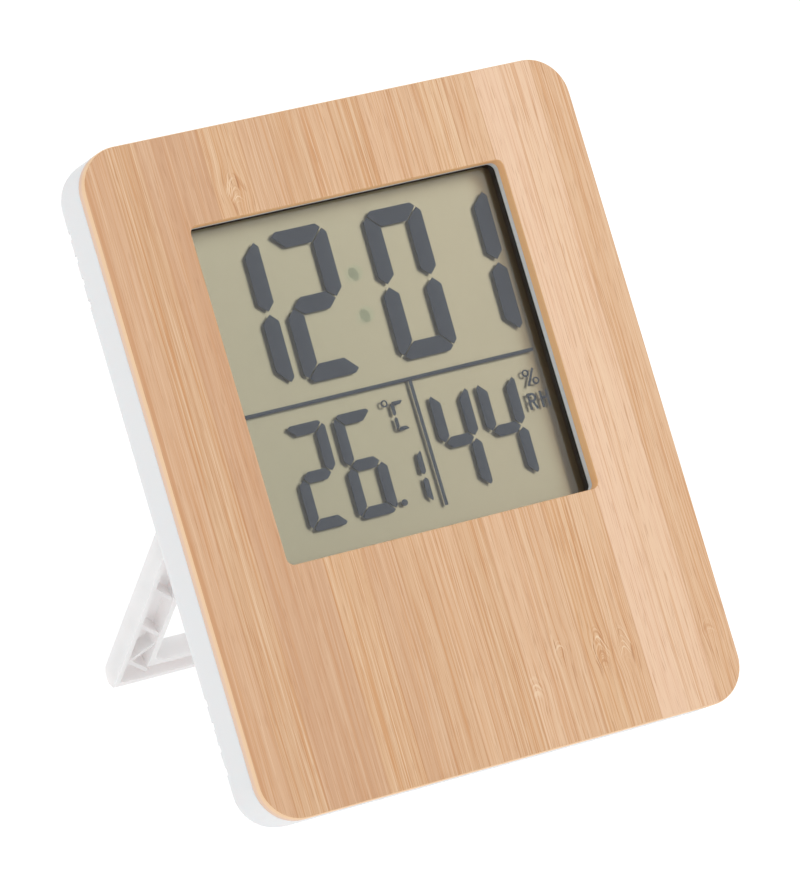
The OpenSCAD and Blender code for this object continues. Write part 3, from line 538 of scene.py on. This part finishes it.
cell_half, cell_low, cell_high, contact_ledge = 38.0, 46.5, 122.5, 2.4
front_of_cell, seam_of_cell, back_of_cell, cut_edge = 4.8, 6.1, 7.05, 0.12
front_of_plate, above_ledge = front_of_cell + 0.2, cell_low + contact_ledge
pack = bmesh.new()
# Depth, inset and lower edge of each outline: the front plate alone reaches down over the ledge.
steps = [(front_of_cell, cut_edge, above_ledge), (front_of_cell + cut_edge, 0.0, above_ledge),
         (front_of_plate, 0.0, above_ledge), (front_of_plate, 0.0, cell_low),
         (seam_of_cell, 0.0, cell_low), (seam_of_cell, 0.0, above_ledge),
         (back_of_cell - cut_edge, 0.0, above_ledge), (back_of_cell, cut_edge, above_ledge)]
loops = []
for depth, inset, low in steps:
    corners = [(-cell_half + inset, low + inset), (cell_half - inset, low + inset),
               (cell_half - inset, cell_high - inset), (-cell_half + inset, cell_high - inset)]
    loops.append([pack.verts.new((x, depth, z)) for x, z in corners])
pack.faces.new(loops[0])
back_face = pack.faces.new(loops[-1][::-1])
for first, second in zip(loops, loops[1:]):
    for i in range(4):
        j = (i + 1) % 4
        side = [first[i], first[j], second[j], second[i]]
        pack.faces.new(side).material_index = 2
back_face.material_index = 1
bmesh.ops.remove_doubles(pack, verts=pack.verts, dist=1e-5)
bmesh.ops.recalc_face_normals(pack, faces=pack.faces)
pack_mesh = bpy.data.meshes.new("display_pack")
pack.to_mesh(pack_mesh)
pack.free()
display_pack = put_in_case("display_pack", pack_mesh, [clear, bonded, ground], 20)
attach(display_pack, "case")
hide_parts("front_polariser", "front_glass", "rear_glass")

ink, ink_tree, ink_shader = new_finish("segment_ink", 0.4)
ink_tree.nodes.remove(ink_shader)
ink_place = case_place(ink_tree)
ink_drift = noise(ink_tree, ink_place, 0.2, 2.0)
ink_tint = mix_colour(ink_tree, ink_drift, (0.46, 0.53, 0.67, 1.0), (0.50, 0.57, 0.71, 1.0))

# The colon hardly shows in the photograph, so its two dots are all but clear.
near_colon = 0.0
colon_dots = ((-0.65, 6.05, 96.2), (-0.49, 6.05, 105.1))
for dot in colon_dots:
    reach = add_node(ink_tree, "ShaderNodeVectorMath", {0: ink_place, 1: dot}, operation="DISTANCE")
    inside = math_node(ink_tree, "LESS_THAN", reach.outputs["Value"], 1.9)
    near_colon = math_node(ink_tree, "MAXIMUM", near_colon, inside)
ink_tint = mix_colour(ink_tree, near_colon, ink_tint, (0.96, 0.995, 0.985, 1.0))
ink_through = add_node(ink_tree, "ShaderNodeBsdfTransparent", {"Color": ink_tint})
ink_tone = mix_colour(ink_tree, ink_drift, colour(92, 99, 112), colour(98, 105, 118))
ink_body = add_node(ink_tree, "ShaderNodeBsdfDiffuse", {"Color": ink_tone})
ink_cover = times(ink_tree, less(ink_tree, 1.0, near_colon), 0.65)
ink_mix = add_node(ink_tree, "ShaderNodeMixShader", {0: ink_cover, 1: ink_through.outputs[0],
                                                     2: ink_body.outputs[0]})
ink_tree.links.new(ink_mix.outputs[0], ink_tree.nodes["Material Output"].inputs["Surface"])
dress(ink, "lcd_segments")

# The film runs paler to the right, and a painted shadow of the window's right wall lies along its
# right edge as a soft dark band, leaning in.
wall_shadow_edge, wall_shadow_lean = 35.6, 0.028


def reflector(name, share):
    """The pearly film behind the glass, at a share of its full tone; a share below 1 paints the
    film in shadow.
    """
    film, tree, shader = new_finish(name, 0.5)
    where = case_place(tree)
    drift = noise(tree, where, 0.02, 2.0)
    speck = noise(tree, where, 2.2, 1.0)
    tone = mix_colour(tree, drift, colour(150, 144, 121), colour(157, 147, 126))
    tone = mix_colour(tree, times(tree, speck, 0.05), tone, colour(134, 132, 118))
    spot = add_node(tree, "ShaderNodeSeparateXYZ", {0: where})
    rightward = span(tree, spot.outputs[0], -36.0, 36.0, 0.0, 0.46)
    tone = mix_colour(tree, rightward, tone, colour(172, 158, 134))
    # Painted shadow of the right wall: the film darkens by its right edge, more widely lower down.
    below = times(tree, less(tree, window_high, spot.outputs[2]), wall_shadow_lean)
    past = less(tree, plus(tree, spot.outputs[0], below), wall_shadow_edge)
    in_wall_shadow = span(tree, past, -0.85, 0.35, 0.0, 0.74)
    tone = mix_colour(tree, in_wall_shadow, tone, colour(68, 58, 41))
    tone = mix_colour(tree, 1.0, tone, (share, share * 1.02, share * 1.04, 1.0), "MULTIPLY")
    tree.links.new(tone, shader.inputs["Base Color"])
    shader.inputs["Metallic"].default_value = 0.85
    shader.inputs["Roughness"].default_value = 0.36
    return film


dress(reflector("display_reflector", 1.0), "reflector_film")

# Painted shadow of the segments on the film: a darker copy of the film in their shape, a little
# down and to the left.
shade = bmesh.new()
shade.from_mesh(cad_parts["lcd_segments"].data)
bmesh.ops.remove_doubles(shade, verts=shade.verts, dist=1e-7)
shade.transform(Matrix.Scale(1 / mm, 4) @ standing.inverted())
shade.normal_update()
spare = [f for f in shade.faces if f.normal.y > -0.9
         or min((f.calc_center_median() - Vector(dot)).length for dot in colon_dots) < 2.0]
bmesh.ops.delete(shade, geom=spare, context="FACES")
front_of_film, shade_thick, shade_left, shade_down = 7.1, 0.02, 0.35, 0.17
for vertex in shade.verts:
    vertex.co = (vertex.co.x - shade_left, front_of_film - 2 * shade_thick,
                 vertex.co.z - shade_down)
skin = bmesh.ops.extrude_face_region(shade, geom=shade.faces[:])
for element in skin["geom"]:
    if isinstance(element, bmesh.types.BMVert):
        element.co.y += shade_thick
bmesh.ops.recalc_face_normals(shade, faces=shade.faces)
shade_mesh = bpy.data.meshes.new("segment_shade")
shade.to_mesh(shade_mesh)
shade.free()
# The film at 0.74 of its tone paints the segments' shadow.
shaded = reflector("shaded_reflector", 0.74)
segment_shade = put_in_case("segment_shade", shade_mesh, [shaded], 30)
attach(segment_shade, "case")

# A dark ring on the back of the glass, just outside the window, painted in as the shade in the gap
# under the frame's lip.
border_at, border_thick, border_in, border_out = 7.055, 0.02, 0.15, 1.3
border = bmesh.new()
border_rings = []
border_back = border_at + border_thick
for grow, depth in ((border_in, border_at), (border_out, border_at),
                    (border_out, border_back), (border_in, border_back)):
    ring = corner_ring(window_half + grow, window_low - grow, window_high + grow,
                       window_corner + grow)
    border_rings.append([border.verts.new((x, depth, z)) for x, z in ring])
for first, second in zip(border_rings, border_rings[1:] + border_rings[:1]):
    for i in range(len(first)):
        j = (i + 1) % len(first)
        border.faces.new((first[i], first[j], second[j], second[i]))
bmesh.ops.recalc_face_normals(border, faces=border.faces)
border_mesh = bpy.data.meshes.new("painted_shade_ring")
border.to_mesh(border_mesh)
border.free()
# Dark brown paint that stands for the shade under the lip.
shade_ring_paint = plain_finish("shade_ring_paint", colour(66, 54, 43), 0.6, 0.2, 2.0)
painted_shade_ring = put_in_case("painted_shade_ring", border_mesh, [shade_ring_paint], 30)
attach(painted_shade_ring, "case")
backing = plain_finish("backing_foam", colour(226, 226, 222), 0.85, 0.04, 1.0, 0.6, 6.0)
dress(backing, "display_backing")


# Circuit board behind the display: green glass-epoxy with its chip under a resin cap, the quartz,
# the small parts, two sensors, the buzzer and four tact switches, all held by screws.

solder_mask, mask_tree, mask_shader = new_finish("solder_mask", 0.32, 1.55)
mask_place = case_place(mask_tree)
tracks = add_node(mask_tree, "ShaderNodeTexVoronoi",
                  {"Vector": mask_place, "Scale": 0.28, "Randomness": 0.75},
                  feature="DISTANCE_TO_EDGE", voronoi_dimensions="3D")
track_share = span(mask_tree, tracks.outputs["Distance"], 0.03, 0.06, 1.0, 0.0)
mask_tone = mix_colour(mask_tree, track_share, colour(18, 84, 50), colour(52, 128, 78))
mask_tree.links.new(mask_tone, mask_shader.inputs["Base Color"])
dress(solder_mask, "circuit_board")

black_resin = plain_finish("black_resin", colour(26, 25, 27), 0.28, 0.25, 0.8, 0.4, 1.2)
black_plastic = plain_finish("black_plastic", colour(34, 34, 36), 0.5, 0.12, 1.0, 0.3, 5.0)
ceramic = plain_finish("ceramic_parts", colour(176, 150, 118), 0.45, 0.10, 1.5, 0.2, 4.0)
bare_metal = plain_finish("bare_metal", colour(196, 196, 194), 0.30, 0.05, 0.8, 0.3, 4.0,
                          metallic=1.0)
brass = plain_finish("brass_disc", colour(208, 170, 98), 0.33, 0.07, 0.5, 0.3, 3.0, metallic=1.0)
rubber = plain_finish("contact_rubber", colour(188, 188, 184), 0.7, 0.05, 1.0, 0.3, 5.0)
dress(rubber, "contact_strip")
dress(black_resin, "chip_blob")
dress(bare_metal, "quartz_crystal", "board_screws", "case_screws", "contact_plates")
dress(ceramic, "board_parts")
dress(black_plastic, "thermistor", "switch_bodies", "humidity_sensor")
dress(brass, "buzzer_disc")


# Batteries: two steel cells in printed sleeves, side by side, with red leads from their contacts.
# The sleeves are plain, with a copper band at the positive end, and the cells lie head to tail.

bay_middle, band_from = 31.0, 10.0
sleeve, sleeve_tree, sleeve_shader = new_finish("battery_sleeve", 0.32)
sleeve_parts = add_node(sleeve_tree, "ShaderNodeSeparateXYZ", {0: case_place(sleeve_tree)})
which_cell = math_node(sleeve_tree, "SIGN", less(sleeve_tree, sleeve_parts.outputs[2], bay_middle))
toward_plus = times(sleeve_tree, sleeve_parts.outputs[0], which_cell)
sleeve_band = span(sleeve_tree, toward_plus, band_from - 0.1, band_from + 0.1)
sleeve_drift = noise(sleeve_tree, case_place(sleeve_tree), 0.8, 2.0)
sleeve_dark = mix_colour(sleeve_tree, sleeve_drift, colour(36, 38, 42), colour(46, 48, 52))
sleeve_tone = mix_colour(sleeve_tree, sleeve_band, sleeve_dark, colour(196, 138, 84))
sleeve_tree.links.new(sleeve_tone, sleeve_shader.inputs["Base Color"])
dress(sleeve, "battery_upper", "battery_lower")
dress(plain_finish("red_wire", colour(178, 34, 30), 0.4, 0.08, 0.5, 0.2, 4.0), "battery_leads")


# Contact springs: nickelled steel wire wound in a cone of seven turns, wide at the plate.
# One tree winds a spring between two named radii and sets a copy at each cell's flat end.

spring_seat, spring_long, wire_radius = 25.0, 5.5, 0.3
spring_depth, spring_step = 11.25, 5.4
winding = bpy.data.node_groups.new("spring_winding", "GeometryNodeTree")
for label, kind in (("Turns", "NodeSocketFloat"), ("Wide Radius", "NodeSocketFloat"),
                    ("Narrow Radius", "NodeSocketFloat"), ("Length", "NodeSocketFloat"),
                    ("Wire Radius", "NodeSocketFloat"), ("Wire", "NodeSocketMaterial")):
    winding.interface.new_socket(label, in_out="INPUT", socket_type=kind)
winding.interface.new_socket("Geometry", in_out="OUTPUT", socket_type="NodeSocketGeometry")
asked = add_node(winding, "NodeGroupInput")
coil = add_node(winding, "GeometryNodeCurveSpiral",
                {"Resolution": 28, "Rotations": asked.outputs["Turns"],
                 "Start Radius": asked.outputs["Wide Radius"],
                 "End Radius": asked.outputs["Narrow Radius"],
                 "Height": asked.outputs["Length"]})
round_wire = add_node(winding, "GeometryNodeCurvePrimitiveCircle",
                      {"Resolution": 12, "Radius": asked.outputs["Wire Radius"]})
wound = add_node(winding, "GeometryNodeCurveToMesh",
                 {"Curve": coil.outputs[0], "Profile Curve": round_wire.outputs[0],
                  "Fill Caps": True})
both_springs = add_node(winding, "GeometryNodeJoinGeometry")
for across, turned, up in ((wire_radius - spring_seat, 90, bay_middle + spring_step),
                           (spring_seat - wire_radius, -90, bay_middle - spring_step)):
    seated = add_node(winding, "GeometryNodeTransform",
                      {"Geometry": wound.outputs[0], "Translation": (across, spring_depth, up),
                       "Rotation": (0.0, math.radians(turned), 0.0)})
    winding.links.new(seated.outputs[0], both_springs.inputs[0])
real = add_node(winding, "GeometryNodeRealizeInstances", {0: both_springs.outputs[0]})
plated = add_node(winding, "GeometryNodeSetMaterial",
                  {"Geometry": real.outputs[0], "Material": asked.outputs["Wire"]})
add_node(winding, "NodeGroupOutput", {0: plated.outputs[0]})

blank = bpy.data.objects.new("spring_blank", bpy.data.meshes.new("spring_blank"))
bpy.context.scene.collection.objects.link(blank)
winder = blank.modifiers.new("winding", "NODES")
winder.node_group = winding
asked_for = {"Turns": 7.0, "Wide Radius": 3.4, "Narrow Radius": 2.3,
             "Length": spring_long - 2 * wire_radius, "Wire Radius": wire_radius,
             "Wire": bare_metal}
for socket in winding.interface.items_tree:
    if socket.in_out == "INPUT":
        winder[socket.identifier] = asked_for[socket.name]
evaluated = blank.evaluated_get(bpy.context.evaluated_depsgraph_get())
spring_mesh = bpy.data.meshes.new_from_object(evaluated)
bpy.data.objects.remove(blank)
contact_coils = put_in_case("contact_coils", spring_mesh, [], 50)
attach(contact_coils, "case")
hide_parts("contact_springs")


# Battery door, folding stand and the four keys: the same white ABS as the case.
# The stand is a hollow frame with slanting ribs; the keys stand a little proud of the back.

stand_plastic = moulded("stand_plastic", colour(252, 247, 246), 0.45, 0.70, (1.0, 0.78, 0.76),
                        11.0 * mm)
dress(stand_plastic, "stand")
dress(white_plastic, "battery_door")
dress(white_plastic, "mode_button", "up_button", "down_button", "memory_button")
dress(rubber, "mode_plunger", "up_plunger", "down_plunger", "memory_plunger")
